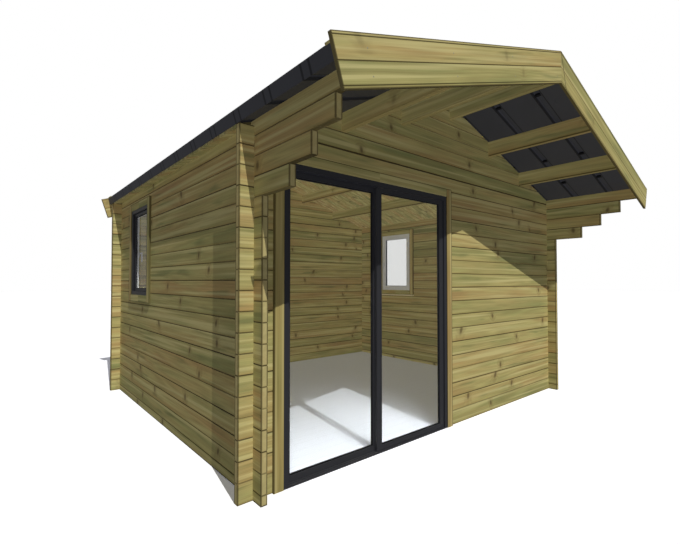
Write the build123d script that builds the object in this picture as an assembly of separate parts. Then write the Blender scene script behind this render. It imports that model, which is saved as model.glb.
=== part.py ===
from build123d import *
from math import cos, radians, sin, tan
import os

# Garden shed built as a log cabin: stacked boards that cross and interlock at the corners, a front
# gable roof carried by five purlins, stepped corbel logs under a deep front canopy, a two-leaf
# sliding patio door and one window in each side wall.
# Millimetres.  Origin on the ground at the middle of the log rectangle, +X to the right as seen
# from the front, +Y to the back, +Z up.

# Logs and walls
LOG_H = 131.0
LOG_T = 44.0
GROOVE = 5.0
LOG_END = 103.0
WALL_W = 4250.0
WALL_D = 3530.0
FRONT_COURSES = 18
CORBEL_REACH = (405.0, 613.0, 811.0)

# Roof
PITCH = 18.0
ROOF_UNDER = 3085.0
SIDE_OVERHANG = 95.0
FRONT_OVERHANG = 1017.0
BACK_OVERHANG = 150.0
PURLIN_T = 44.0
PURLIN_H = 146.0
PURLIN_X = (700.0, 1373.0)
CEILING_T = 18.0

# Roof covering: insulated panels between steel skins, ribbed above and channelled below
PANEL_T = 49.0
CHANNEL_H = 25.0
RIB_H = 28.0
RIB_BASE = 68.0
RIB_TOP = 40.0
RIB_PITCH = 368.0
FIRST_RIB = 282.0
CAP_REACH = 150.0
CAP_T = 3.0
FLASHING_T = 3.0
FLASHING_LEG = 45.0

# Bargeboards
BARGE_W = 243.0
BARGE_T = 20.0
BARGE_TOP = 90.0
BARGE_END = 2322.5
BARGE_STRIP = 15.0
BARGE_GROOVE = 4.0
BATTEN_T = 43.0
BATTEN_W = 116.0
BATTEN_START = 165.0

# Sliding door
DOOR_LEFT = 217.0
DOOR_W = 1800.0
DOOR_H = 2169.0
DOOR_PROUD = 15.0
DOOR_DEPTH = 80.0
FRAME_FACE = 38.0
HEAD_FACE = 40.0
SILL_H = 12.0
STILE = 57.0
FIXED_STILE = 36.0
RAIL_LOW_TOP = 55.0
RAIL_HIGH_BOTTOM = 2089.0
LEAF_T = 26.0
LEAF_BACKSET = 10.0
LEAF_GAP = 5.0
INTERLOCK = 46.0
GLASS_T = 8.0

# Windows
WINDOW_W = 640.0
WINDOW_H = 970.0
WINDOW_FROM_FRONT = 2600.0
WINDOW_MID_Z = 1701.0
WINDOW_PROUD = 13.0
WINDOW_DEPTH = 70.0
WINDOW_FRAME = 40.0
WINDOW_SASH = 33.0
SASH_DEPTH = 50.0

# Trim, floor and handles
TRIM_W = 75.0
TRIM_T = 20.0
TRIM_JOINT = 2.0
FLOOR_T = 18.0
HANDLE_L = 120.0
HANDLE_D = 16.0
HANDLE_REACH = 40.0

# Derived places
HALF_W = WALL_W / 2
FRONT = -WALL_D / 2
BACK = WALL_D / 2
WALL_TOP = FRONT_COURSES * LOG_H
SIDE_TOP = WALL_TOP - LOG_H / 2
EAVES_TOP = SIDE_TOP + LOG_H
HEAD_SEAM = WALL_TOP - 2 * LOG_H
SLOPE = tan(radians(PITCH))
ROOF_RUN = (HALF_W + SIDE_OVERHANG) / cos(radians(PITCH))
BARGE_RUN = BARGE_END / cos(radians(PITCH)) - BARGE_TOP * sin(radians(PITCH))
RIB_TOP_H = PANEL_T + RIB_H
ROOF_FRONT = FRONT - FRONT_OVERHANG + BARGE_T
ROOF_BACK = BACK + BACK_OVERHANG - BARGE_T
FAR = 9000.0
CLEAR = 1.0


def block(x, y, z):
    """A box between the low and high ends of three ranges."""
    size = [high - low for low, high in (x, y, z)]
    middle = [(high + low) / 2 for low, high in (x, y, z)]
    return Pos(*middle) * Box(*size)


def prism_x(points, low, high):
    """An outline of (y, z) points drawn out along X."""
    face = Plane.YZ.offset(low) * make_face(Polyline(*points, close=True))
    return extrude(face, amount=high - low, dir=(1, 0, 0))


def prism_y(points, low, high):
    """An outline of (x, z) points drawn out along Y."""
    face = Pos(0, low, 0) * (Plane.XZ * make_face(Polyline(*points, close=True)))
    return extrude(face, amount=high - low, dir=(0, 1, 0))


def prism_slope(points, start, length):
    """An outline of (y, height over the roof plane) points drawn down the right-hand slope."""
    run = (cos(radians(PITCH)), 0, -sin(radians(PITCH)))
    top = Vector(0, 0, ROOF_UNDER) + Vector(*run) * start
    plane = Plane(origin=top, x_dir=(0, 1, 0), z_dir=run)
    face = plane * make_face(Polyline(*points, close=True))
    return extrude(face, amount=length, dir=run)


def to_left(shape):
    """The left-hand twin of a right-hand piece."""
    return mirror(shape, about=Plane.YZ)


def under_roof(x):
    """Height of the roof covering's underside at a distance from the ridge line."""
    return ROOF_UNDER - abs(x) * SLOPE


def log_outline(low, high, first_seam, eased_low=False, eased_high=False):
    """Stacked logs in section as (depth, z) points, with a V at each seam on both faces."""
    count = FRONT_COURSES * 2
    seams = [first_seam + k * LOG_H for k in range(count)]
    seams = [z for z in seams if low + GROOVE < z < high - GROOVE]
    outer = [(GROOVE, low), (0, low + GROOVE)] if eased_low else [(0, low)]
    for z in seams:
        outer += [(0, z - GROOVE), (GROOVE, z), (0, z + GROOVE)]
    outer += [(0, high - GROOVE), (GROOVE, high)] if eased_high else [(0, high)]
    inner = [(LOG_T - depth, z) for depth, z in reversed(outer)]
    return outer + inner


def logs_across(x, face_y, low, high, **eased):
    """Logs that run along X, as the front and back walls do, behind a front face."""
    points = [(face_y + depth, z) for depth, z in log_outline(low, high, LOG_H, **eased)]
    return prism_x(points, *x)


def logs_deep(y, face_x, low, high, **eased):
    """Logs that run along Y, as the side walls do, to the left of a face."""
    points = [(face_x - depth, z) for depth, z in log_outline(low, high, LOG_H / 2, **eased)]
    return prism_y(points, *y)


def crossing_bands(first, low, high):
    """Height bands of half a log that one wall gives up to the logs of the other."""
    quarter = LOG_H / 4
    bands = []
    for k in range(FRONT_COURSES + 1):
        middle = first + k * LOG_H
        bottom = max(low, middle - quarter)
        top = min(high, middle + quarter)
        if top - bottom > CLEAR:
            bands.append((bottom, top))
    return bands


def corner_columns():
    """Plan squares where a side wall crosses the front or back wall."""
    sides = ((-HALF_W, -HALF_W + LOG_T), (HALF_W - LOG_T, HALF_W))
    ends = ((FRONT, FRONT + LOG_T), (BACK - LOG_T, BACK))
    return [(x, y) for x in sides for y in ends]


def notch(wall, first, low, high):
    """The wall with its crossing notches cut where a corner column meets it."""
    box = wall.bounding_box()
    cuts = []
    for x, y in corner_columns():
        outside = x[1] <= box.min.X or x[0] >= box.max.X or y[1] <= box.min.Y or y[0] >= box.max.Y
        if not outside:
            cuts += [block(x, y, band) for band in crossing_bands(first, low, high)]
    return wall - cuts


def roof_space():
    """Everything above the underside of the roof covering."""
    points = [(0, ROOF_UNDER), (FAR, under_roof(FAR)), (FAR, FAR), (-FAR, FAR), (-FAR, under_roof(FAR))]
    return prism_y(points, -FAR, FAR)


def door_space():
    """The hole that the door frame fills in the front wall."""
    return block(door_x(), (FRONT - FAR, FRONT - DOOR_PROUD + DOOR_DEPTH), (-FAR, DOOR_H))


def window_space():
    """The hole for the window in the right-hand wall."""
    y, z = window_ranges()
    return block((0, FAR), y, z)


def side_wall():
    """Right-hand wall with its corbel logs and window hole."""
    wall = logs_deep((FRONT - LOG_END, BACK + LOG_END), HALF_W, 0, SIDE_TOP, eased_high=True)
    for step, reach in enumerate(CORBEL_REACH):
        low = SIDE_TOP - (len(CORBEL_REACH) - step) * LOG_H
        span = (FRONT - reach, FRONT - LOG_END)
        wall += logs_deep(span, HALF_W, low, low + LOG_H, eased_low=True, eased_high=True)
    wall -= window_space()
    return notch(wall, LOG_H / 2, 0, SIDE_TOP)


def eaves_log():
    """Right-hand top log, bevelled to the roof boards and carried on to both bargeboards."""
    log = logs_deep((ROOF_FRONT, ROOF_BACK), HALF_W, SIDE_TOP, EAVES_TOP, eased_low=True)
    log = notch(log, LOG_H / 2, SIDE_TOP, SIDE_TOP + LOG_H / 4)
    return log - roof_space() - ceiling_side()


def back_wall():
    """Back wall up to the foot of its gable."""
    wall = logs_across((-HALF_W - LOG_END, HALF_W + LOG_END), BACK - LOG_T, 0, WALL_TOP)
    return notch(wall, 0, 0, WALL_TOP)


def front_wall_side(x):
    """Front wall beside the door."""
    wall = logs_across(x, FRONT, 0, HEAD_SEAM, eased_high=True)
    return notch(wall, 0, 0, HEAD_SEAM)


def front_wall_head():
    """The two log courses that run over the door."""
    x = (-HALF_W - LOG_END, HALF_W + LOG_END)
    wall = logs_across(x, FRONT, HEAD_SEAM, WALL_TOP, eased_low=True, eased_high=True)
    return notch(wall - door_space(), 0, HEAD_SEAM, WALL_TOP)


def gable(face_y):
    """Logs of a gable between the eaves logs, cut for the roof and the purlins."""
    x = (-HALF_W + LOG_T, HALF_W - LOG_T)
    logs = logs_across(x, face_y, WALL_TOP, ROOF_UNDER, eased_low=True)
    return logs - roof_space() - [full_purlin(x) for x in all_purlins()]


def all_purlins():
    """Distances of the five purlins from the ridge line, left to right."""
    return [-PURLIN_X[1], -PURLIN_X[0], 0, PURLIN_X[0], PURLIN_X[1]]


def full_purlin(x):
    """A purlin under the roof covering, with its top bevelled to the slope."""
    low = under_roof(x) - PURLIN_H
    side = (x - PURLIN_T / 2, x + PURLIN_T / 2)
    beam = block(side, (ROOF_FRONT, ROOF_BACK), (low, ROOF_UNDER + LOG_H))
    return beam - roof_space()


def ceiling_side():
    """Right-hand roof boards between the gables, from the ridge over the wall to the eaves."""
    span = (FRONT + LOG_T, BACK - LOG_T)
    points = [(span[0], -CEILING_T), (span[1], -CEILING_T), (span[1], 0), (span[0], 0)]
    boards = prism_slope(points, -LOG_H, ROOF_RUN + LOG_H)
    return boards & block((0, FAR), (-FAR, FAR), (0, FAR))


def purlin(x):
    """A purlin rebated where the ceiling boards lie on it."""
    return full_purlin(x) - ceiling_side() - to_left(ceiling_side())


def ribbed_outline():
    """The roof panel in section as (y, height) points: ribs above, channels below them."""
    centres = []
    y = ROOF_FRONT + FIRST_RIB
    while y < ROOF_BACK - RIB_BASE:
        centres.append(y)
        y += RIB_PITCH
    lower = [(ROOF_FRONT, 0)]
    upper = [(ROOF_FRONT, PANEL_T)]
    for y in centres:
        steps = (y - RIB_BASE / 2, y - RIB_TOP / 2, y + RIB_TOP / 2, y + RIB_BASE / 2)
        lower += zip(steps, (0, CHANNEL_H, CHANNEL_H, 0))
        upper += zip(steps, (PANEL_T, RIB_TOP_H, RIB_TOP_H, PANEL_T))
    lower.append((ROOF_BACK, 0))
    upper.append((ROOF_BACK, PANEL_T))
    return lower + upper[::-1]


def roof_sheet():
    """Right-hand ribbed steel panels from the ridge to the eaves."""
    sheet = prism_slope(ribbed_outline(), -RIB_TOP_H, ROOF_RUN + RIB_TOP_H)
    return sheet & block((0, FAR), (-FAR, FAR), (0, FAR))


def ridge_cap():
    """Folded steel cap over both panels at the ridge."""
    low = ROOF_UNDER + RIB_TOP_H / cos(radians(PITCH))
    high = low + CAP_T / cos(radians(PITCH))
    drop = CAP_REACH * SLOPE
    points = [(0, low), (CAP_REACH, low - drop), (CAP_REACH, high - drop), (0, high)]
    points += [(-CAP_REACH, high - drop), (-CAP_REACH, low - drop)]
    return prism_y(points, ROOF_FRONT, ROOF_BACK)


def eaves_flashing():
    """Folded strip that closes the panel ends along the right-hand eaves."""
    low, high = RIB_TOP_H, RIB_TOP_H + FLASHING_T
    span = (ROOF_FRONT, ROOF_BACK)
    face = [(span[0], 0), (span[1], 0), (span[1], low), (span[0], low)]
    strip = prism_slope(face, ROOF_RUN, FLASHING_T)
    span = inset(span, BATTEN_W)
    leg = [(span[0], low), (span[1], low), (span[1], high), (span[0], high)]
    return strip + prism_slope(leg, ROOF_RUN - FLASHING_LEG, FLASHING_LEG + FLASHING_T)


def bargeboard_section(face_y, outward):
    """Two stacked boards with a cap strip and a foot strip, as (y, height) points."""
    top = BARGE_TOP * cos(radians(PITCH))
    foot = top - BARGE_W
    seams = [foot + BARGE_STRIP, foot + BARGE_W / 2, top - BARGE_STRIP]
    front = [(face_y, foot)]
    for seam in seams:
        front += [(face_y, seam - BARGE_GROOVE), (face_y - outward * BARGE_GROOVE, seam)]
        front.append((face_y, seam + BARGE_GROOVE))
    front.append((face_y, top))
    back_y = face_y - outward * BARGE_T
    return front + [(back_y, top), (back_y, foot)]


def bargeboards(face_y, outward):
    """Left and right boards of one gable: the left one runs past the ridge and is cut square."""
    section = bargeboard_section(face_y, outward)
    right = prism_slope(section, -BARGE_W, BARGE_RUN + BARGE_W)
    square_end = BARGE_TOP * sin(radians(PITCH))
    left = to_left(prism_slope(section, -square_end, BARGE_RUN + square_end))
    left &= roof_outside(left)
    right &= block((0, FAR), (-FAR, FAR), (0, FAR))
    return left, right - left


def roof_outside(board):
    """The space below the right-hand bargeboard's upper edge and above its lower edge."""
    top = ROOF_UNDER + BARGE_TOP
    points = [(-FAR, under_roof(FAR) - FAR), (-FAR, top), (0, top), (FAR, top - FAR * SLOPE)]
    depth = BARGE_W / cos(radians(PITCH))
    points += [(FAR, top - depth - FAR * SLOPE), (0, top - depth)]
    box = board.bounding_box()
    return prism_y(points, box.min.Y, box.max.Y)


def verge_battens():
    """Boards that lie on the panels along the back of each bargeboard."""
    battens = []
    for y in ((ROOF_FRONT, ROOF_FRONT + BATTEN_W), (ROOF_BACK - BATTEN_W, ROOF_BACK)):
        low = PANEL_T
        high = PANEL_T + BATTEN_T
        points = [(y[0], low), (y[1], low), (y[1], high), (y[0], high)]
        right = prism_slope(points, BATTEN_START, ROOF_RUN - BATTEN_START)
        battens += [right, to_left(right)]
    return battens


def floor():
    """Floor boards between the walls, notched behind the door frame."""
    x = (-HALF_W + LOG_T, HALF_W - LOG_T)
    y = (FRONT + LOG_T, BACK - LOG_T)
    return block(x, y, (0, FLOOR_T)) - door_space()


def ring(x, y, z, hole_a, hole_b, along):
    """A frame: a box with a rectangular hole drawn through it along an axis."""
    outer = block(x, y, z)
    if along == "y":
        return outer - block(hole_a, inset(y, -CLEAR), hole_b)
    return outer - block(inset(x, -CLEAR), hole_a, hole_b)


def door_x():
    """X range of the door frame."""
    return (-HALF_W + DOOR_LEFT, -HALF_W + DOOR_LEFT + DOOR_W)


def frame_y():
    """Depth range of the door frame."""
    return (FRONT - DOOR_PROUD, FRONT - DOOR_PROUD + DOOR_DEPTH)


def leaf_y():
    """Depth range of the sliding leaf, on the outer track."""
    front = FRONT - DOOR_PROUD + LEAF_BACKSET
    return (front, front + LEAF_T)


def fixed_y():
    """Depth range of the fixed sash, on the inner track."""
    front = leaf_y()[1] + LEAF_GAP
    return (front, front + LEAF_T)


def leaf_x():
    """X range of the sliding leaf, closed against the right jamb."""
    low, high = inset(door_x(), FRAME_FACE)
    return ((low + high) / 2 - INTERLOCK / 2, high - LEAF_GAP)


def fixed_x():
    """X range of the fixed sash, from the left jamb to the interlock."""
    low, high = inset(door_x(), FRAME_FACE)
    return (low, (low + high) / 2 + INTERLOCK / 2)


def leaf_pane():
    """X range of the sliding leaf's glass."""
    return inset(leaf_x(), STILE)


def fixed_pane():
    """X range of the fixed sash's glass."""
    low, high = fixed_x()
    return (low + FIXED_STILE, high - STILE)


def door_frame():
    """Outer door frame with a thin sill."""
    hole_z = (SILL_H, DOOR_H - HEAD_FACE)
    return ring(door_x(), frame_y(), (0, DOOR_H), inset(door_x(), FRAME_FACE), hole_z, "y")


def door_fixed_sash():
    """Sash of the fixed left pane, on the inner track."""
    z = (SILL_H, DOOR_H - HEAD_FACE)
    return ring(fixed_x(), fixed_y(), z, fixed_pane(), (RAIL_LOW_TOP, RAIL_HIGH_BOTTOM), "y")


def door_leaf_sash():
    """Sash of the sliding right leaf, on the outer track."""
    z = (SILL_H + LEAF_GAP, DOOR_H - HEAD_FACE - LEAF_GAP)
    return ring(leaf_x(), leaf_y(), z, leaf_pane(), (RAIL_LOW_TOP, RAIL_HIGH_BOTTOM), "y")


def door_glass(x, planes):
    """A sealed pane that fills a sash."""
    middle = sum(planes) / 2
    y = (middle - GLASS_T / 2, middle + GLASS_T / 2)
    return block(x, y, (RAIL_LOW_TOP, RAIL_HIGH_BOTTOM))


def door_trims():
    """Boards at both sides of the door and over it."""
    x = door_x()
    y = (FRONT - TRIM_T, FRONT)
    top = DOOR_H + TRIM_W
    left = block((x[0] - TRIM_JOINT - TRIM_W, x[0] - TRIM_JOINT), y, (0, top))
    right = block((x[1] + TRIM_JOINT, x[1] + TRIM_JOINT + TRIM_W), y, (0, top))
    head = block(x, y, (DOOR_H + TRIM_JOINT, top))
    return [left, right, head]


def window_ranges():
    """Outer Y and Z ranges of a window frame."""
    middle = FRONT + WINDOW_FROM_FRONT
    y = (middle - WINDOW_W / 2, middle + WINDOW_W / 2)
    z = (WINDOW_MID_Z - WINDOW_H / 2, WINDOW_MID_Z + WINDOW_H / 2)
    return y, z


def inset(span, by):
    """A range made smaller at both ends."""
    return (span[0] + by, span[1] - by)


def window_frame():
    """Right-hand window frame in its wall."""
    y, z = window_ranges()
    x = (HALF_W + WINDOW_PROUD - WINDOW_DEPTH, HALF_W + WINDOW_PROUD)
    return ring(x, y, z, inset(y, WINDOW_FRAME), inset(z, WINDOW_FRAME), "x")


def sash_x():
    """Depth range of a window sash."""
    low = HALF_W + WINDOW_PROUD - WINDOW_DEPTH
    return (low, low + SASH_DEPTH)


def window_sash():
    """Right-hand window sash inside the frame."""
    y, z = window_ranges()
    reach = WINDOW_FRAME + WINDOW_SASH
    outer_y = inset(y, WINDOW_FRAME)
    outer_z = inset(z, WINDOW_FRAME)
    return ring(sash_x(), outer_y, outer_z, inset(y, reach), inset(z, reach), "x")


def window_glass():
    """Right-hand window pane."""
    y, z = window_ranges()
    reach = WINDOW_FRAME + WINDOW_SASH
    middle = sum(sash_x()) / 2
    x = (middle - GLASS_T / 2, middle + GLASS_T / 2)
    return block(x, inset(y, reach), inset(z, reach))


def window_trims():
    """Picture-frame boards round the right-hand window, outside and inside the wall."""
    y, z = window_ranges()
    wide_y = inset(y, -TRIM_W)
    wide_z = inset(z, -TRIM_W)
    outside = ring((HALF_W, HALF_W + TRIM_T), wide_y, wide_z, y, z, "x")
    inner = HALF_W - LOG_T
    inside = ring((inner - TRIM_T, inner), wide_y, wide_z, y, z, "x")
    return [outside, inside]


def window_handle():
    """Lever on the inner face of the right-hand sash, on the stile farther from the door."""
    y, z = window_ranges()
    x_face = sash_x()[0]
    middle = y[1] - WINDOW_FRAME - WINDOW_SASH / 2
    span = (middle - HANDLE_D / 2, middle + HANDLE_D / 2)
    high = WINDOW_MID_Z + HANDLE_D / 2
    neck = block((x_face - HANDLE_REACH, x_face), span, (high - HANDLE_D, high))
    lever_x = (x_face - HANDLE_REACH, x_face - HANDLE_REACH + HANDLE_D)
    return neck + block(lever_x, span, (high - HANDLE_L, high))


def build_parts():
    """Every node's shape by name."""
    parts = {
        "back_wall": back_wall(),
        "front_wall_left": front_wall_side((-HALF_W - LOG_END, door_x()[0])),
        "front_wall_right": front_wall_side((door_x()[1], HALF_W + LOG_END)),
        "front_wall_head": front_wall_head(),
        "front_gable": gable(FRONT),
        "back_gable": gable(BACK - LOG_T),
        "ridge_cap": ridge_cap(),
        "verge_battens": verge_battens(),
        "floor": floor(),
        "door_frame": door_frame(),
        "door_fixed_sash": door_fixed_sash(),
        "door_fixed_glass": door_glass(fixed_pane(), fixed_y()),
        "door_leaf_sash": door_leaf_sash(),
        "door_leaf_glass": door_glass(leaf_pane(), leaf_y()),
        "door_trims": door_trims(),
    }
    places = ["purlin_left_lower", "purlin_left_upper", "ridge_purlin"]
    places += ["purlin_right_upper", "purlin_right_lower"]
    for name, x in zip(places, all_purlins()):
        parts[name] = purlin(x)
    paired = {
        "side_wall": side_wall(),
        "eaves_log": eaves_log(),
        "ceiling_boards": ceiling_side(),
        "roof_sheet": roof_sheet(),
        "eaves_flashing": eaves_flashing(),
        "window_frame": window_frame(),
        "window_sash": window_sash(),
        "window_glass": window_glass(),
        "window_trims": window_trims(),
        "window_handle": window_handle(),
    }
    for name, shape in paired.items():
        parts[name + "_right"] = shape
        if isinstance(shape, list):
            parts[name + "_left"] = [to_left(piece) for piece in shape]
        else:
            parts[name + "_left"] = to_left(shape)
    ends = [("front", FRONT - FRONT_OVERHANG, -1), ("back", BACK + BACK_OVERHANG, 1)]
    for name, face_y, outward in ends:
        left, right = bargeboards(face_y, outward)
        parts[name + "_bargeboard_left"] = left
        parts[name + "_bargeboard_right"] = right
    return parts


os.makedirs("parts", exist_ok=True)
for node, shape in build_parts().items():
    solid = Compound(children=shape) if isinstance(shape, list) else shape
    export_step(solid, "parts/" + node + ".step")
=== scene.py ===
"""Looks of a garden shed built as a log cabin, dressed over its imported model.

The shed stands on its ground plane with its front towards -Y. Sizes are in metres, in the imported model's
frame. Walls are stacks of pressure-treated pine logs that cross at the corners. The roof is black ribbed
steel on five purlins, the front has a two-leaf sliding door, and each side wall has one window.
"""
from __future__ import annotations

import logging
import math
from dataclasses import dataclass, field
from enum import Enum
from typing import Sequence

import bmesh
import bpy
from mathutils import Matrix, Vector


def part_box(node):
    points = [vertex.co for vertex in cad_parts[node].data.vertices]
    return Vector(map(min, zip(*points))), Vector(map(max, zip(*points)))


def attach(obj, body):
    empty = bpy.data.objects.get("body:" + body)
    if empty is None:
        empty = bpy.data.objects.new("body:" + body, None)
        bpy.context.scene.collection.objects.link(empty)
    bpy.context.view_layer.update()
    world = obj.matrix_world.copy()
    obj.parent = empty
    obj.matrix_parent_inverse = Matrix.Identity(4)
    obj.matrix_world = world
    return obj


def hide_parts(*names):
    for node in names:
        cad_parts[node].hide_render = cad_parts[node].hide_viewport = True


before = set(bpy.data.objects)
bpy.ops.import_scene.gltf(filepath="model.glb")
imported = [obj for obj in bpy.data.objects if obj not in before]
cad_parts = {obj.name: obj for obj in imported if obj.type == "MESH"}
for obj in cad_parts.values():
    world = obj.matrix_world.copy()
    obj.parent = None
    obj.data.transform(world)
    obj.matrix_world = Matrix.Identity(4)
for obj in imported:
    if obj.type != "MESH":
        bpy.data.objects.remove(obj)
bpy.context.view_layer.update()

LOG = logging.getLogger("garden_shed")

# Main sizes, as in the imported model
LOG_H = 0.131
LOG_T = 0.044
LOG_END = 0.103
SIDE_TOP = 2.2925
CORBEL_REACH = (0.405, 0.613, 0.811)
HALF_W = 2.125
HALF_D = 1.765
PITCH = math.radians(18.0)
PITCH_COS = math.cos(PITCH)
PITCH_SIN = math.sin(PITCH)
PITCH_TAN = math.tan(PITCH)
ROOF_UNDER = 3.085
ROOF_EDGE = 2.220
ROOF_FRONT = -HALF_D - 0.997
ROOF_BACK = HALF_D + 0.130
CEILING_W = 0.0956
FIRST_RIB = 0.282
RIB_PITCH = 0.368
RIB_BASE = 0.068
RIB_CREST = 0.040
PAN_TOP = 0.049
RIB_TOP = 0.077
CHANNEL_TOP = 0.025
CAP_TOP = 0.080
VERGE_W = 0.116
TRIM_W = 0.075

# How squarely a face looks along an axis, from where it begins to count to where it counts in full
SQUARE_ON = (0.7, 0.9)

ORIGIN = (0.0, 0.0, 0.0)
UP = (0.0, 0.0, 1.0)

Colour = tuple[float, float, float]


def tone(red: int, green: int, blue: int) -> Colour:
    """A colour written as screen values from 0 to 255, as linear light."""
    def linear(value: int) -> float:
        """One screen value as linear light."""
        share = value / 255
        return share / 12.92 if share <= 0.04045 else ((share + 0.055) / 1.055) ** 2.4
    return linear(red), linear(green), linear(blue)


class Body(str, Enum):
    """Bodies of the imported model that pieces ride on."""

    SHED = "shed"
    LEAF = "sliding_leaf"


class Side(Enum):
    """The two mirrored halves of the shed."""

    LEFT = -1
    RIGHT = 1

    @property
    def word(self) -> str:
        """The side's name as it ends a node's name."""
        return self.name.lower()


class Run(Enum):
    """Which way the logs of a wall run."""

    ACROSS = "along X, as in the front and back walls"
    DEEP = "along Y, as in the side walls"


# Node trees


class Value:
    """A number or colour that nodes work out. Numbers are reckoned with like plain ones."""

    def __init__(self, wires: Wiring, socket: bpy.types.NodeSocket) -> None:
        """Keeps the socket that gives it."""
        self.wires = wires
        self.socket = socket

    def __add__(self, other: object) -> Value:
        """The sum."""
        return self.wires.math("ADD", self, other)

    def __sub__(self, other: object) -> Value:
        """The difference."""
        return self.wires.math("SUBTRACT", self, other)

    def __rsub__(self, other: object) -> Value:
        """The difference from a plain number."""
        return self.wires.math("SUBTRACT", other, self)

    def __mul__(self, other: object) -> Value:
        """The product."""
        return self.wires.math("MULTIPLY", self, other)

    def __truediv__(self, other: object) -> Value:
        """The quotient."""
        return self.wires.math("DIVIDE", self, other)

    def __abs__(self) -> Value:
        """The size without the sign."""
        return self.wires.math("ABSOLUTE", self)

    def floor(self) -> Value:
        """The whole number below."""
        return self.wires.math("FLOOR", self)

    def above(self, level: object) -> Value:
        """1 above a level, and 0 elsewhere."""
        return self.wires.math("GREATER_THAN", self, level)

    def below(self, level: object) -> Value:
        """1 below a level, and 0 elsewhere."""
        return self.wires.math("LESS_THAN", self, level)

    def most(self, *others: object) -> Value:
        """The highest of this and others."""
        result = self
        for other in others:
            result = self.wires.math("MAXIMUM", result, other)
        return result

    def scaled(self, by: object, plus: object = 0.0) -> Value:
        """This times a factor, plus an offset."""
        return self.wires.math("MULTIPLY_ADD", self, by, plus)

    def wave(self) -> Value:
        """A wave between 0 and 1 that this runs along."""
        return self.wires.math("SINE", self).scaled(0.5, 0.5)

    def smooth(self, low: object, high: object) -> Value:
        """A soft step from 0 at low to 1 at high, or down again where high is the smaller."""
        step = self.wires.node("ShaderNodeMapRange", interpolation_type="SMOOTHSTEP")
        return self.wires.apply(step, self, low, high, 0.0, 1.0)

    def close_to(self, place: object, far: float, near: float) -> Value:
        """1 within the near distance of a place, and softly down to 0 at the far one."""
        return abs(self - place).smooth(far, near)

    def pick(self, first: object, second: object) -> Value:
        """A number that goes from the first to the second as this goes from 0 to 1."""
        mix = self.wires.node("ShaderNodeMix", data_type="FLOAT")
        return self.wires.apply(mix, self, first, second, slots=(0, 2, 3))

    def parts(self) -> list[Value]:
        """The three numbers of this vector."""
        made = self.wires.node("ShaderNodeSeparateXYZ")
        self.wires.apply(made, self)
        return list(self.wires.outputs(made).values())

    def rows(self, first: float, width: float) -> tuple[Value, Value]:
        """Splits a length into boards that lie side by side.

        Args:
            first: Where the first board starts.
            width: How wide each board is.

        Returns:
            The number of the board, and the place from the board's middle.
        """
        row = (self - first) / width
        return row.floor(), self.wires.math("FRACT", row).scaled(width, -width / 2)


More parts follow.
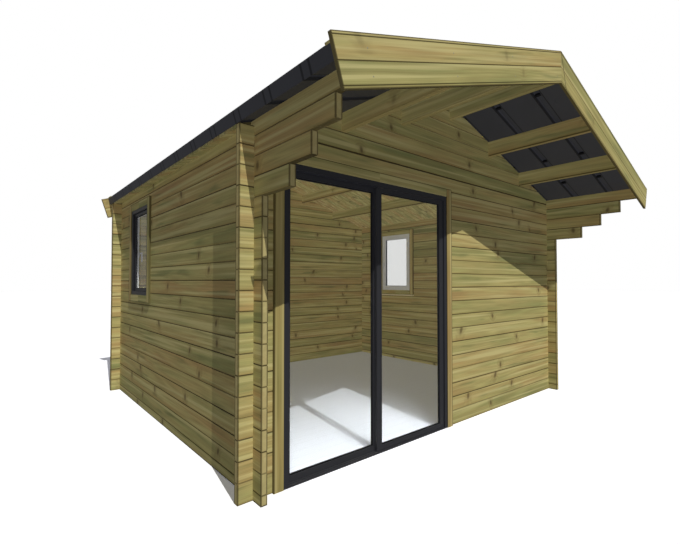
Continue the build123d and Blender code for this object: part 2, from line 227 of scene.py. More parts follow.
class Wiring:
    """Adds and joins the nodes of one node tree."""

    def __init__(self, tree: bpy.types.NodeTree) -> None:
        """Keeps the tree that the nodes go into."""
        self.tree = tree

    def node(self, kind: str, **settings: object) -> bpy.types.Node:
        """Adds a node.

        Args:
            kind: The node's type name.
            **settings: Properties to set on it.

        Returns:
            The new node.
        """
        made = self.tree.nodes.new(kind)
        for key, value in settings.items():
            setattr(made, key, value)
        return made

    def feed(self, socket: bpy.types.NodeSocket, value: object) -> None:
        """Joins a socket to a value that nodes work out, or sets its own."""
        if isinstance(value, Value):
            self.tree.links.new(value.socket, socket)
        elif socket.type == "RGBA":
            socket.default_value = (*value, 1.0)
        else:
            socket.default_value = value

    def fill(self, node: bpy.types.Node, **values: object) -> Value:
        """Feeds a node's inputs by name, with spaces written as underscores, and gives its first output."""
        for key, value in values.items():
            self.feed(node.inputs[key.replace("_", " ")], value)
        return Value(self, node.outputs[0])

    def apply(
        self, node: bpy.types.Node, *values: object, slots: Sequence[int] = range(5), result: int = 0
    ) -> Value:
        """Feeds a node's inputs by their places.

        Args:
            node: The node.
            *values: What its inputs get.
            slots: The places of those inputs.
            result: The place of the output to give.

        Returns:
            That output.
        """
        for slot, value in zip(slots, values):
            self.feed(node.inputs[slot], value)
        return Value(self, node.outputs[result])

    def outputs(self, node: bpy.types.Node) -> dict[str, Value]:
        """A node's outputs by name."""
        return {socket.name: Value(self, socket) for socket in node.outputs}

    def read(self, kind: str) -> dict[str, Value]:
        """The outputs of a new node that needs no inputs."""
        return self.outputs(self.node(kind))

    def fill_results(self, values: dict[str, Value]) -> None:
        """Feeds a node group's own outputs by name."""
        results = self.node("NodeGroupOutput").inputs
        for name, value in values.items():
            self.feed(results[name], value)

    def surface(self) -> tuple[list[Value], list[Value]]:
        """X, Y and Z of a point on the surface, and of the way its face looks."""
        source = self.read("ShaderNodeTexCoord")
        return source["Object"].parts(), source["Normal"].parts()

    def math(self, operation: str, *values: object) -> Value:
        """The result of a Math node with these values."""
        return self.apply(self.node("ShaderNodeMath", operation=operation), *values)

    def distance(self, first: Value, second: Value) -> Value:
        """How far off a point is by its two offsets."""
        return self.math("SQRT", first * first + second * second)

    def blend(self, share: object, first: object, second: object) -> Value:
        """The first colour, covered by the second as share goes from 0 to 1."""
        mix = self.node("ShaderNodeMix", data_type="RGBA")
        return self.apply(mix, share, first, second, slots=(0, 6, 7), result=2)

    def point(self, *numbers: object) -> Value:
        """Three numbers as a vector."""
        return self.apply(self.node("ShaderNodeCombineXYZ"), *numbers)

    def noise(self, place: Value, scale: object, detail: float = 2.0) -> Value:
        """Soft noise over a place, between 0 and 1."""
        return self.fill(self.node("ShaderNodeTexNoise"), Vector=place, Scale=scale, Detail=detail)

    def chance(self, number: Value) -> dict[str, Value]:
        """A random value and a random colour for each number."""
        made = self.node("ShaderNodeTexWhiteNoise", noise_dimensions="1D")
        self.fill(made, W=number)
        return self.outputs(made)

    def ramp(self, share: Value, stops: Sequence[tuple[float, Colour]]) -> Value:
        """A colour ramp.

        Args:
            share: Where on the ramp to read.
            stops: Places from 0 to 1 with their colours.

        Returns:
            The colour there.
        """
        made = self.node("ShaderNodeValToRGB")
        marks = made.color_ramp.elements
        while len(marks) < len(stops):
            marks.new(0.5)
        for mark, (place, colour) in zip(marks, stops):
            mark.position = place
            mark.color = (*colour, 1.0)
        return self.apply(made, share)


class ShaderGroup:
    """A shader node group that several materials use, built once with named sockets."""

    name = "shared"
    inputs: tuple[tuple[str, float], ...] = ()
    outputs: tuple[tuple[str, str], ...] = ()

    def __init__(self) -> None:
        """Builds the group's tree."""
        self.tree = bpy.data.node_groups.new(self.name, "ShaderNodeTree")
        for name, start in self.inputs:
            socket = self.tree.interface.new_socket(name, in_out="INPUT", socket_type="NodeSocketFloat")
            socket.default_value = start
        for name, kind in self.outputs:
            self.tree.interface.new_socket(name, in_out="OUTPUT", socket_type=kind)
        wires = Wiring(self.tree)
        wires.fill_results(self.build(wires, wires.read("NodeGroupInput")))

    def build(self, wires: Wiring, given: dict[str, Value]) -> dict[str, Value]:
        """Adds the group's nodes.

        Args:
            wires: The group's tree.
            given: The group's inputs by name.

        Returns:
            What each output gives.
        """
        raise NotImplementedError

    def place(self, wires: Wiring, **values: object) -> dict[str, Value]:
        """Puts the group into a material.

        Args:
            wires: The material's tree.
            **values: What its inputs get, with spaces written as underscores.

        Returns:
            The group's outputs by name.
        """
        made = wires.node("ShaderNodeGroup", node_tree=self.tree)
        wires.fill(made, **values)
        return wires.outputs(made)


class PineBoard(ShaderGroup):
    """Pressure-treated pine: growth rings, fibre, green stain, knots and a tone of its own for each board."""

    name = "pine_board"
    inputs = (("Along", 0.0), ("Across", 0.0), ("Depth", 0.0), ("Board", 0.0), ("Knots", 1.0), ("End", 0.0))
    outputs = (("Colour", "NodeSocketColor"), ("Height", "NodeSocketFloat"), ("Roughness", "NodeSocketFloat"))
    tones = (
        (0.00, tone(140, 144, 88)),
        (0.26, tone(174, 168, 104)),
        (0.48, tone(194, 180, 114)),
        (0.72, tone(190, 162, 102)),
        (1.00, tone(170, 138, 94)),
    )
    knot_pitch = 0.95
    knot_share = 0.45
    squat = 0.65
    year_rate = 1150.0
    heart_below = 0.05

    def build(self, wires: Wiring, given: dict[str, Value]) -> dict[str, Value]:
        """Adds the nodes of the wood.

        Args:
            wires: The group's tree.
            given: The group's inputs by name.

        Returns:
            Colour, height and roughness of the wood.
        """
        first, second, third = wires.chance(given["Board"])["Color"].parts()
        across = second.scaled(5.0, given["Across"])
        place = (first.scaled(31.0, given["Along"]), across, third.scaled(3.0, given["Depth"]))
        knot, halo = self.knots(wires, given, first)
        patch = self.grain(wires, place, 1.1, 10.0)
        band = self.grain(wires, place, 0.5, 26.0)
        sway = self.grain(wires, place, 0.35, 6.0, detail=1.0)
        fibre = self.grain(wires, place, 3.0, 190.0, detail=3.0)
        stain = self.grain(wires, place, 1.7, 16.0)
        ring = (sway.scaled(62.0) + across.scaled(90.0) + halo.scaled(7.0)).wave()
        from_heart = wires.distance(given["Across"] + self.heart_below, given["Depth"] + third)
        years = from_heart.scaled(self.year_rate).wave()
        cut = wires.blend(years.scaled(0.30), tone(198, 182, 124), tone(158, 134, 84))
        colour = wires.ramp(second.scaled(0.55) + patch.scaled(1.05) - 0.33, self.tones)
        for share, layer in (
            (ring.scaled(0.30), tone(144, 124, 76)),
            (stain.smooth(0.56, 0.74).scaled(0.60), tone(114, 120, 72)),
            (fibre.smooth(0.42, 0.68).scaled(0.26), tone(120, 104, 62)),
            (band.smooth(0.48, 0.68).scaled(0.65), tone(214, 202, 138)),
            (given["Across"].smooth(-0.044, -0.063).scaled(0.40), tone(150, 124, 66)),
            (halo.scaled(0.30), tone(140, 116, 70)),
            (knot, tone(88, 72, 44)),
            (given["End"].scaled(0.7), cut),
        ):
            colour = wires.blend(share, colour, layer)
        height = ring.scaled(0.35) + fibre.scaled(0.65) + knot.scaled(-0.5)
        return {"Colour": colour, "Height": height, "Roughness": fibre.scaled(0.22, 0.58)}

    def knots(self, wires: Wiring, given: dict[str, Value], chance: Value) -> tuple[Value, Value]:
        """Adds the knots, one to each stretch of a board.

        Args:
            wires: The group's tree.
            given: The group's inputs by name.
            chance: A random number for the board.

        Returns:
            The mask of the knots and the soft mask of the wood that bends round them.
        """
        place = given["Along"].scaled(1 / self.knot_pitch) + chance.scaled(17.0)
        node = wires.node("ShaderNodeTexVoronoi", voronoi_dimensions="1D")
        wires.fill(node, W=place, Scale=1.0, Randomness=0.9)
        cell = wires.outputs(node)
        shift, size, exists = cell["Color"].parts()
        gap_across = given["Across"] - shift.scaled(0.08, -0.04)
        lean = gap_across * size.scaled(1.0, -0.5)
        gap_along = (cell["W"] - place).scaled(self.knot_pitch, lean)
        reach = wires.distance(gap_along, gap_across.scaled(self.squat)) / size.scaled(0.012, 0.016)
        present = exists.above(1 - self.knot_share) * given["Knots"]
        return (reach.smooth(1.4, 0.3) * present).scaled(0.72), reach.smooth(4.0, 1.0) * present

    @staticmethod
    def grain(wires: Wiring, place: Sequence[Value], slow: float, fast: float, detail: float = 2.0) -> Value:
        """Soft noise that is drawn out along the grain.

        Args:
            wires: The group's tree.
            place: Places along, across and through the board.
            slow: Scale along the grain.
            fast: Scale across the grain.
            detail: How fine the noise is.

        Returns:
            The noise, between 0 and 1.
        """
        along, across, depth = place
        stretched = wires.point(along.scaled(slow), across.scaled(fast), depth.scaled(fast))
        return wires.noise(stretched, 1.0, detail)


class FineSpeckle(ShaderGroup):
    """The fine orange peel of a sprayed or moulded surface, with a soft change of gloss."""

    name = "fine_speckle"
    inputs = (("Grain", 900.0), ("Base Roughness", 0.5), ("Gloss Change", 0.1))
    outputs = (("Height", "NodeSocketFloat"), ("Roughness", "NodeSocketFloat"), ("Tint", "NodeSocketFloat"))

    def build(self, wires: Wiring, given: dict[str, Value]) -> dict[str, Value]:
        """Adds the nodes of the surface.

        Args:
            wires: The group's tree.
            given: The group's inputs by name.

        Returns:
            Height, roughness and a small change of tone.
        """
        place = wires.read("ShaderNodeTexCoord")["Object"]
        cloud = wires.noise(place, 3.5, 3.0)
        rough = given["Base Roughness"] + (cloud - 0.5) * given["Gloss Change"]
        return {"Height": wires.noise(place, given["Grain"], 1.0), "Roughness": rough, "Tint": cloud}


class SettledDust(ShaderGroup):
    """Pale dust that lies on faces that look up, in patches."""

    name = "settled_dust"
    inputs = (("Amount", 0.2),)
    outputs = (("Mask", "NodeSocketFloat"),)

    def build(self, wires: Wiring, given: dict[str, Value]) -> dict[str, Value]:
        """Adds the nodes of the mask.

        Args:
            wires: The group's tree.
            given: The group's inputs by name.

        Returns:
            Where the dust lies.
        """
        source = wires.read("ShaderNodeTexCoord")
        upward = source["Normal"].parts()[2].smooth(0.3, 0.9)
        patches = wires.noise(source["Object"], 2.2, 4.0).smooth(0.35, 0.75)
        return {"Mask": upward * patches * given["Amount"]}


@dataclass(frozen=True)
class SharedEffects:
    """The shader groups that the finishes have in common."""

    pine: PineBoard = field(default_factory=PineBoard)
    speckle: FineSpeckle = field(default_factory=FineSpeckle)
    dust: SettledDust = field(default_factory=SettledDust)


# Finishes


@dataclass(frozen=True)
class Look:
    """What a finish shows: its colour, roughness, relief with its depth, and gloss."""

    colour: Value
    roughness: Value
    height: Value
    relief: float
    gloss: float = 0.5


@dataclass(frozen=True)
class Finish:
    """A finish with the effects it draws on."""

    effects: SharedEffects
    name: str

    def start(self) -> tuple[bpy.types.Material, Wiring, bpy.types.Node]:
        """A new material with its tree and its one Principled shader."""
        made = bpy.data.materials.new(self.name)
        made.use_nodes = True
        return made, Wiring(made.node_tree), made.node_tree.nodes["Principled BSDF"]

    def look(self, wires: Wiring) -> Look:
        """What the finish shows, worked out in the material's tree."""
        raise NotImplementedError

    def material(self) -> bpy.types.Material:
        """The finished material."""
        made, wires, shader = self.start()
        look = self.look(wires)
        relief = wires.fill(
            wires.node("ShaderNodeBump"), Strength=1.0, Distance=look.relief, Height=look.height)
        wires.fill(
            shader, Base_Color=look.colour, Roughness=look.roughness, Specular_IOR_Level=look.gloss,
            Normal=relief)
        return made


@dataclass(frozen=True)
class BoardPlace:
    """Where a point lies on its board: the grain's axes, the board's number, and its dark joints and painted
    shade lines.
    """

    along: Value
    across: Value
    depth: Value
    board: Value
    dark: object
    end: object = 0.0


@dataclass(frozen=True)
class Timber(Finish):
    """Pressure-treated pine. Each kind of timber says how its boards lie."""

    knots: float = 1.0
    # Colour of the dark joints and of the painted shade lines
    shade: Colour = tone(66, 56, 24)

    def lie(self, at: list[Value], facing: list[Value]) -> BoardPlace:
        """How the boards lie.

        Args:
            at: X, Y and Z of the point.
            facing: X, Y and Z of the face's direction.

        Returns:
            The point's place on its board.
        """
        raise NotImplementedError

    def look(self, wires: Wiring) -> Look:
        """What the timber shows."""
        spot = self.lie(*wires.surface())
        wood = self.effects.pine.place(
            wires, Along=spot.along, Across=spot.across, Depth=spot.depth, Board=spot.board,
            Knots=self.knots, End=spot.end)
        # Lays the dark joints and painted shade lines over the wood
        colour = wires.blend(spot.dark, wood["Colour"], self.shade)
        return Look(colour, wood["Roughness"], wood["Height"], relief=0.0006, gloss=0.25)


@dataclass(frozen=True)
class LogStack(Timber):
    """Logs laid on each other, with dark seams that are partly painted shade in the V grooves, and painted
    shade lines at the edges of their ends.
    """

    run: Run = Run.ACROSS
    first_seam: float = 0.0
    tip: float = HALF_W + LOG_END
    groove: float = 0.005
    line: float = 0.010
    plate: float = 18 * LOG_H
    seam_least: float = 0.5
    seam_spread: float = 0.45
    # How strong the painted shade lines along the edges of the log ends are
    painted_edge_shade: float = 0.75
    other_wall: float = 47.0

    def lie(self, at: list[Value], facing: list[Value]) -> BoardPlace:
        """How the logs lie.

        Args:
            at: X, Y and Z of the point.
            facing: X, Y and Z of the face's direction.

        Returns:
            The point's place on its log.
        """
        x, y, z = at
        is_across = self.run is Run.ACROSS
        along, depth, half = (x, y, HALF_D) if is_across else (y, x, HALF_W)
        end = abs(facing[0] if is_across else facing[1]).smooth(*SQUARE_ON)
        tip = self.tip if is_across else self.tip_of_course(y, z)
        course, across = z.rows(self.first_seam, LOG_H)
        number = course + depth.above(0.0).scaled(self.other_wall)
        nearest = ((z - self.first_seam) / LOG_H + 0.5).floor()
        strength = nearest.wires.chance(nearest)["Value"].scaled(self.seam_spread, self.seam_least)
        # Dark seam lines: partly the joints' own dark, partly painted shade in the V grooves
        seam = (LOG_H / 2 - abs(across)).smooth(self.groove * 1.3, self.groove * 0.5) * strength
        seam = seam.most(z.close_to(self.plate, self.groove * 1.8, self.groove))
        # Painted shade lines along the edges of the end faces, and across the sides where the logs end
        faces = self.line_at(depth, half).most(self.line_at(depth, half - LOG_T))
        edge = (self.line_at(along, tip) * (1.0 - end)).most(faces * end)
        return BoardPlace(along, across, depth, number, seam.most(edge.scaled(self.painted_edge_shade)), end)

    def line_at(self, value: Value, edge: object) -> Value:
        """A thin line where a place is as far from the middle as an edge is."""
        return abs(value).close_to(edge, self.line, self.line * 0.5)

    def tip_of_course(self, y: Value, z: Value) -> Value:
        """How far from the middle a side log ends: at the corner, as a corbel, or at the bargeboards."""
        tip = self.tip
        front = y.below(0.0)
        for step, reach in enumerate(CORBEL_REACH):
            above = z.above(SIDE_TOP - (len(CORBEL_REACH) - step) * LOG_H)
            tip = (above * front).pick(tip, HALF_D + reach)
        return z.above(SIDE_TOP).pick(tip, -ROOF_FRONT)


@dataclass(frozen=True)
class RoofBeam(Timber):
    """Purlins that run from front to back, with painted shade lines along their lower edges."""

    spacing: float = 0.17
    height: float = 0.146
    # Width of the painted shade line along the lower edges, and of its full-strength core
    edge: float = 0.010
    edge_core: float = 0.004

    def lie(self, at: list[Value], facing: list[Value]) -> BoardPlace:
        """How the beams lie.

        Args:
            at: X, Y and Z of the point.
            facing: X, Y and Z of the face's direction.

        Returns:
            The point's place on its beam.
        """
        x, y, z = at
        half = self.height / 2
        across = z + abs(x).scaled(PITCH_TAN, -ROOF_UNDER + half)
        # Painted shade line along the lower edge of each side face
        foot = across.smooth(self.edge - half, self.edge_core - half)
        dark = (foot * abs(facing[0]).smooth(*SQUARE_ON)).scaled(0.7)
        return BoardPlace(y, across, x, (x / self.spacing).floor(), dark, abs(facing[1]).smooth(*SQUARE_ON))


@dataclass(frozen=True)
class VergeBatten(Timber):
    """Boards that lie on the roof panels along the verges and run down the slope."""

    def lie(self, at: list[Value], facing: list[Value]) -> BoardPlace:
        """How the boards lie.

        Args:
            at: X, Y and Z of the point.
            facing: Not used.

        Returns:
            The point's place on its board.
        """
        x, y, z = at
        back = y.above(0.0)
        across = y - back.pick(ROOF_FRONT + VERGE_W / 2, ROOF_BACK - VERGE_W / 2)
        number = back.scaled(5.0) + x.above(0.0).scaled(13.0) + 71.0
        return BoardPlace(abs(x) * (1 / PITCH_COS), across, z, number, 0.0)


@dataclass(frozen=True)
class VergeBoard(Timber):
    """Bargeboards: two boards high, with a cap strip and a foot strip, down each slope."""

    top: float = 0.090
    width: float = 0.243
    strip: float = 0.015
    groove: float = 0.004
    run: float = 2.4142
    line: float = 0.007

    def lie(self, at: list[Value], facing: list[Value]) -> BoardPlace:
        """How the bargeboards lie.

        Args:
            at: X, Y and Z of the point.
            facing: X, Y and Z of the face's direction.

        Returns:
            The point's place on its board.
        """
        x, y, z = at
        fall = ROOF_UNDER - z
        along = abs(x).scaled(PITCH_COS) + fall.scaled(PITCH_SIN)
        height = abs(x).scaled(PITCH_SIN) - fall.scaled(PITCH_COS)
        meeting = abs(x.scaled(-PITCH_COS) + fall.scaled(PITCH_SIN) + self.top * PITCH_SIN)
        foot = self.top * PITCH_COS - self.width
        head = foot + self.width
        middle = foot + self.width / 2
        # Painted shade lines in the grooves of the boards' profile and along their edges, and a dark line at
        # the joint at the ridge
        seams = [
            height.close_to(seam, self.groove, self.groove * 0.3)
            for seam in (foot + self.strip, middle, head - self.strip)]
        edges = [
            place.close_to(edge, self.line, self.line * 0.5)
            for place, edge in ((meeting, 0.0), (along, self.run), (height, foot), (height, head))]
        dark = seams[0].most(*seams[1:], *edges).scaled(0.8)
        upper = height.above(middle)
        number = upper.scaled(3.0) + x.above(0.0).scaled(7.0) + y.above(0.0).scaled(19.0)
        across = height + upper.scaled(-self.width / 2, -foot - self.width / 4)
        end = (1.0 - abs(facing[1])) * abs(facing[0]).smooth(0.6, 0.9)
        return BoardPlace(along, across, y, number, dark, end)


@dataclass(frozen=True)
class CeilingBoard(Timber):
    """Matched boards that run up the slope under the roof covering."""

    joint: float = 0.003

    def lie(self, at: list[Value], facing: list[Value]) -> BoardPlace:
        """How the ceiling boards lie.

        Args:
            at: X, Y and Z of the point.
            facing: Not used.

        Returns:
            The point's place on its board.
        """
        x, y, z = at
        row, across = y.rows(-HALF_D + LOG_T, CEILING_W)
        dark = (CEILING_W / 2 - abs(across)).smooth(self.joint * 1.3, self.joint * 0.4).scaled(0.85)
        return BoardPlace(abs(x), across, z, row + x.above(0.0).scaled(61.0), dark)


@dataclass(frozen=True)
class TrimBoard(Timber):
    """Boards round an opening: the uprights run full height, and the others lie between them."""

    axis: int = 0
    middle: float = 0.0
    half: float = 0.5
    low: float = 0.0
    high: float = 1.0
    joint: float = 0.0015
    line: float = 0.009

    def lie(self, at: list[Value], facing: list[Value]) -> BoardPlace:
        """How the trims lie.

        Args:
            at: X, Y and Z of the point.
            facing: Not used.

        Returns:
            The point's place on its board.
        """
        level, z = at[self.axis], at[2]
        away = abs(level - self.middle)
        upright = away.above(self.half)
        # Painted shade lines: in the gap against the frame, and along the trims' outer edges and ends
        edges = [
            place.close_to(edge, self.line, self.line * 0.4)
            for place, edge in ((away, self.half + TRIM_W), (z, self.low), (z, self.high))]
        dark = away.close_to(self.half, self.joint * 2, self.joint).most(*edges).scaled(0.8)
        number = upright.scaled(5.0) + level.above(self.middle).scaled(11.0) + at[0].above(0.0).scaled(23.0)
        return BoardPlace(upright.pick(level, z), upright.pick(z, level), at[1 - self.axis], number, dark)


@dataclass(frozen=True)
class CoatedMetal(Finish):
    """Sprayed aluminium or steel, with the peel of the coat and a little dust on top."""

    colour: Colour = tone(47, 47, 49)
    roughness: float = 0.42
    gloss: float = 0.2
    grain: float = 900.0
    dust: float = 0.15

    def shadow(self, wires: Wiring) -> object:
        """Where painted shade darkens the coat; a plain coat has none."""
        return 0.0

    def look(self, wires: Wiring) -> Look:
        """What the coat shows."""
        coat = self.effects.speckle.place(
            wires, Grain=self.grain, Base_Roughness=self.roughness, Gloss_Change=0.12)
        lighter = tuple(min(1.0, part * 1.25) for part in self.colour)
        # The colour of the painted shade
        darker = tuple(part * 0.2 for part in self.colour)
        colour = wires.blend(coat["Tint"], self.colour, lighter)
        colour = wires.blend(self.shadow(wires), colour, darker)
        dusty = self.effects.dust.place(wires, Amount=self.dust)["Mask"]
        colour = wires.blend(dusty, colour, tone(120, 118, 110))
        return Look(colour, coat["Roughness"], coat["Height"], relief=0.00015, gloss=self.gloss)


@dataclass(frozen=True)
class RibbedSteel(CoatedMetal):
    """Steel of the roof panels, with painted shade along the sloping sides of the channels on its under side.
    """

    def shadow(self, wires: Wiring) -> Value:
        """Painted shade along the sloping sides of the channels, on faces that look down."""
        at, facing = wires.surface()
        from_rib = abs(at[1].rows(ROOF_FRONT + FIRST_RIB - RIB_PITCH / 2, RIB_PITCH)[1])
        line = from_rib.close_to(RIB_BASE / 2, 0.010, 0.006)
        return (line * facing[2].smooth(-0.1, -0.25)).scaled(0.8)


@dataclass(frozen=True)
class TwoToneFrame(Finish):
    """Window frame that is black outside and pale grey inside, split at a depth in the wall."""

    outside: Colour = tone(28, 28, 31)
    inside: Colour = tone(232, 232, 228)
    split: float = HALF_W - 0.032

    def look(self, wires: Wiring) -> Look:
        """What the frame shows."""
        coat = self.effects.speckle.place(wires, Grain=700.0, Base_Roughness=0.4, Gloss_Change=0.1)
        outer = abs(wires.surface()[0][0]).above(self.split)
        colour = wires.blend(outer, self.inside, self.outside)
        colour = wires.blend(coat["Tint"].scaled(0.12), colour, tone(90, 90, 88))
        return Look(colour, coat["Roughness"], coat["Height"], relief=0.0001)


@dataclass(frozen=True)
class FloorPaint(Finish):
    """Pale painted floor boards with fine joints."""

    colour: Colour = tone(237, 243, 254)
    width: float = 0.112

    def look(self, wires: Wiring) -> Look:
        """What the floor shows."""
        coat = self.effects.speckle.place(wires, Grain=260.0, Base_Roughness=0.55, Gloss_Change=0.15)
        x, y, z = wires.surface()[0]
        joint = (self.width / 2 - abs(y.rows(0.0, self.width)[1])).smooth(0.0016, 0.0006)
        brush = wires.noise(wires.point(x.scaled(2.0), y.scaled(60.0), z), 1.0)
        colour = wires.blend(brush.scaled(0.14), self.colour, tone(214, 213, 208))
        colour = wires.blend(joint.scaled(0.32), colour, tone(120, 119, 114))
        return Look(colour, coat["Roughness"], coat["Height"] + joint.scaled(-3.0), relief=0.0002)


@dataclass(frozen=True)
class ClearPane(Finish):
    """Clear glass that lets the light of the lamps through, with faint smears."""

    colour: Colour = (0.87, 0.875, 0.87)

    def material(self) -> bpy.types.Material:
        """The finished pane."""
        made, wires, shader = self.start()
        smear = wires.noise(wires.read("ShaderNodeTexCoord")["Object"], 5.0, 4.0).smooth(0.55, 0.8)
        pane = wires.fill(
            shader, Base_Color=self.colour, Roughness=smear.scaled(0.02), Transmission_Weight=1.0, IOR=1.3)
        open_way = wires.fill(wires.node("ShaderNodeBsdfTransparent"), Color=self.colour)
        is_shadow = wires.read("ShaderNodeLightPath")["Is Shadow Ray"]
        mix = wires.apply(wires.node("ShaderNodeMixShader"), is_shadow, pane, open_way)
        wires.feed(made.node_tree.nodes["Material Output"].inputs["Surface"], mix)
        return made


# Meshes


class Shape:
    """A mesh put together from boxes, rings and prisms."""

    def __init__(self) -> None:
        """Starts with nothing."""
        self.mesh = bmesh.new()

    def box(self, low: Sequence[float], high: Sequence[float], bevel: float = 0.0) -> Shape:
        """Adds a box.

        Args:
            low: Its lowest corner.
            high: Its highest corner.
            bevel: How wide its edges are rounded.

        Returns:
            The shape itself.
        """
        size = [b - a for a, b in zip(low, high)]
        centre = [(a + b) / 2 for a, b in zip(low, high)]
        matrix = Matrix.Translation(centre) @ Matrix.Diagonal((*size, 1.0))
        made = bmesh.ops.create_cube(self.mesh, size=1.0, matrix=matrix)
        if bevel:
            # A dict and not a set, so that the edges come in the same order each run
            edges = dict.fromkeys(edge for corner in made["verts"] for edge in corner.link_edges)
            bmesh.ops.bevel(
                self.mesh, geom=list(edges), offset=bevel, segments=2, affect="EDGES", profile=0.5)
        return self

    def prism(self, outline: Sequence[Sequence[float]], sweep: Sequence[float]) -> Shape:
        """Adds an outline of points in space, drawn out along a sweep.

        Args:
            outline: The corners, one after another.
            sweep: How far and which way the outline goes.

        Returns:
            The shape itself.
        """
        near = [self.mesh.verts.new(point) for point in outline]
        far = [self.mesh.verts.new(Vector(point) + Vector(sweep)) for point in outline]
        self.mesh.faces.new(near)
        self.mesh.faces.new(far)
        for index in range(len(near)):
            self.mesh.faces.new((near[index - 1], near[index], far[index], far[index - 1]))
        return self

    def ring(self, low: Sequence[float], high: Sequence[float], bar: float, through: int) -> Shape:
        """Adds a rectangular ring, as of a gasket.

        Args:
            low: Its lowest corner.
            high: Its highest corner.
            bar: How wide its bars are.
            through: The axis that its hole goes along.

        Returns:
            The shape itself.
        """
        first, second = (axis for axis in range(3) if axis != through)
        for axis, other, inset in ((first, second, 0.0), (second, first, bar)):
            for span in ((low[axis], low[axis] + bar), (high[axis] - bar, high[axis])):
                bar_low, bar_high = list(low), list(high)
                bar_low[axis], bar_high[axis] = span
                bar_low[other] += inset
                bar_high[other] -= inset
                self.box(bar_low, bar_high)
        return self

    def disc(
        self, centre: Sequence[float], axis: Sequence[float], radii: tuple[float, float], height: float,
        sides: int,
    ) -> Shape:
        """Adds a round or many-sided stud.

        Args:
            centre: The middle of its foot.
            axis: The way it stands.
            radii: Radius at the foot and at the top.
            height: How high it stands.
            sides: How many sides it has.

        Returns:
            The shape itself.
        """
        way = Vector(axis).normalized()
        turn = way.to_track_quat("Z", "Y").to_matrix().to_4x4()
        matrix = Matrix.Translation(Vector(centre) + way * height / 2) @ turn
        bmesh.ops.create_cone(
            self.mesh, cap_ends=True, segments=sides, radius1=radii[0], radius2=radii[1], depth=height,
            matrix=matrix)
        return self

    def made(self) -> bpy.types.Mesh:
        """The mesh, with its faces turned outwards."""
        bmesh.ops.recalc_face_normals(self.mesh, faces=self.mesh.faces[:])
        result = bpy.data.meshes.new("shape")
        self.mesh.to_mesh(result)
        self.mesh.free()
        return result


def mirrored(mesh: bpy.types.Mesh) -> bpy.types.Mesh:
    """The left-hand twin of a right-hand mesh, with its faces still outwards."""
    work = bmesh.new()
    work.from_mesh(mesh)
    bmesh.ops.scale(work, vec=(-1.0, 1.0, 1.0), verts=work.verts[:])
    bmesh.ops.reverse_faces(work, faces=work.faces[:])
    result = mesh.copy()
    work.to_mesh(result)
    work.free()
    return result


class PieceRows:
    """A Geometry Nodes tree that repeats a small mesh in rows and gives it its material."""

    sockets = (
        ("Start", "NodeSocketVector"), ("Step", "NodeSocketVector"), ("Count", "NodeSocketInt"),
        ("Row Step", "NodeSocketVector"), ("Rows", "NodeSocketInt"), ("Turn Axis", "NodeSocketVector"),
        ("Turn", "NodeSocketFloat"), ("Seed", "NodeSocketInt"), ("Finish", "NodeSocketMaterial"),
    )

    def __init__(self) -> None:
        """Builds the tree."""
        self.tree = bpy.data.node_groups.new("piece_rows", "GeometryNodeTree")
        face = self.tree.interface
        face.new_socket("Geometry", in_out="INPUT", socket_type="NodeSocketGeometry")
        face.new_socket("Geometry", in_out="OUTPUT", socket_type="NodeSocketGeometry")
        self.keys = {
            name: face.new_socket(name, in_out="INPUT", socket_type=kind).identifier
            for name, kind in self.sockets}
        wires = Wiring(self.tree)
        given = wires.read("NodeGroupInput")
        line = wires.fill(
            wires.node("GeometryNodeMeshLine", mode="OFFSET"), Count=given["Count"],
            Start_Location=given["Start"], Offset=given["Step"])
        rows = wires.fill(
            wires.node("GeometryNodeMeshLine", mode="OFFSET"), Count=given["Rows"], Offset=given["Row Step"])
        grid = wires.fill(wires.node("GeometryNodeInstanceOnPoints"), Points=line, Instance=rows)
        flat = wires.fill(wires.node("GeometryNodeRealizeInstances"), Geometry=grid)
        chance = wires.node("FunctionNodeRandomValue", data_type="FLOAT")
        wires.fill(chance, Seed=given["Seed"])
        angle = Value(wires, chance.outputs[1]) * given["Turn"]
        turn = wires.fill(
            wires.node("FunctionNodeAxisAngleToRotation"), Axis=given["Turn Axis"], Angle=angle)
        placed = wires.fill(
            wires.node("GeometryNodeInstanceOnPoints"), Points=flat, Instance=given["Geometry"],
            Rotation=turn)
        real = wires.fill(wires.node("GeometryNodeRealizeInstances"), Geometry=placed)
        dressed = wires.fill(
            wires.node("GeometryNodeSetMaterial"), Geometry=real, Material=given["Finish"])
        wires.fill_results({"Geometry": dressed})

    def lay(
        self, mesh: bpy.types.Mesh, finish: bpy.types.Material, start: Sequence[float], step: Sequence[float],
        count: int, row_step: Sequence[float] = ORIGIN, rows: int = 1, axis: Sequence[float] = UP,
        turn: float = 0.0, seed: int = 1,
    ) -> bpy.types.Mesh:
        """Repeats a mesh.

        Args:
            mesh: The small mesh, made round the origin.
            finish: Its material.
            start: Where the first one goes.
            step: From one to the next.
            count: How many stand in a row.
            row_step: From one row to the next.
            rows: How many rows there are.
            axis: The axis that each one may turn about.
            turn: How far each one may turn, at random.
            seed: Fixes what is random.

        Returns:
            All of them as one plain mesh.
        """
        values = {
            "Start": tuple(start), "Step": tuple(step), "Count": count, "Row Step": tuple(row_step),
            "Rows": rows, "Turn Axis": tuple(axis), "Turn": turn, "Seed": seed, "Finish": finish}
        host = bpy.data.objects.new("rows_host", mesh)
        bpy.context.scene.collection.objects.link(host)
        rule = host.modifiers.new("rows", "NODES")
        rule.node_group = self.tree
        for name, value in values.items():
            rule[self.keys[name]] = value
        graph = bpy.context.evaluated_depsgraph_get()
        result = bpy.data.meshes.new_from_object(host.evaluated_get(graph))
        host.modifiers.remove(rule)
        bpy.data.objects.remove(host)
        return result


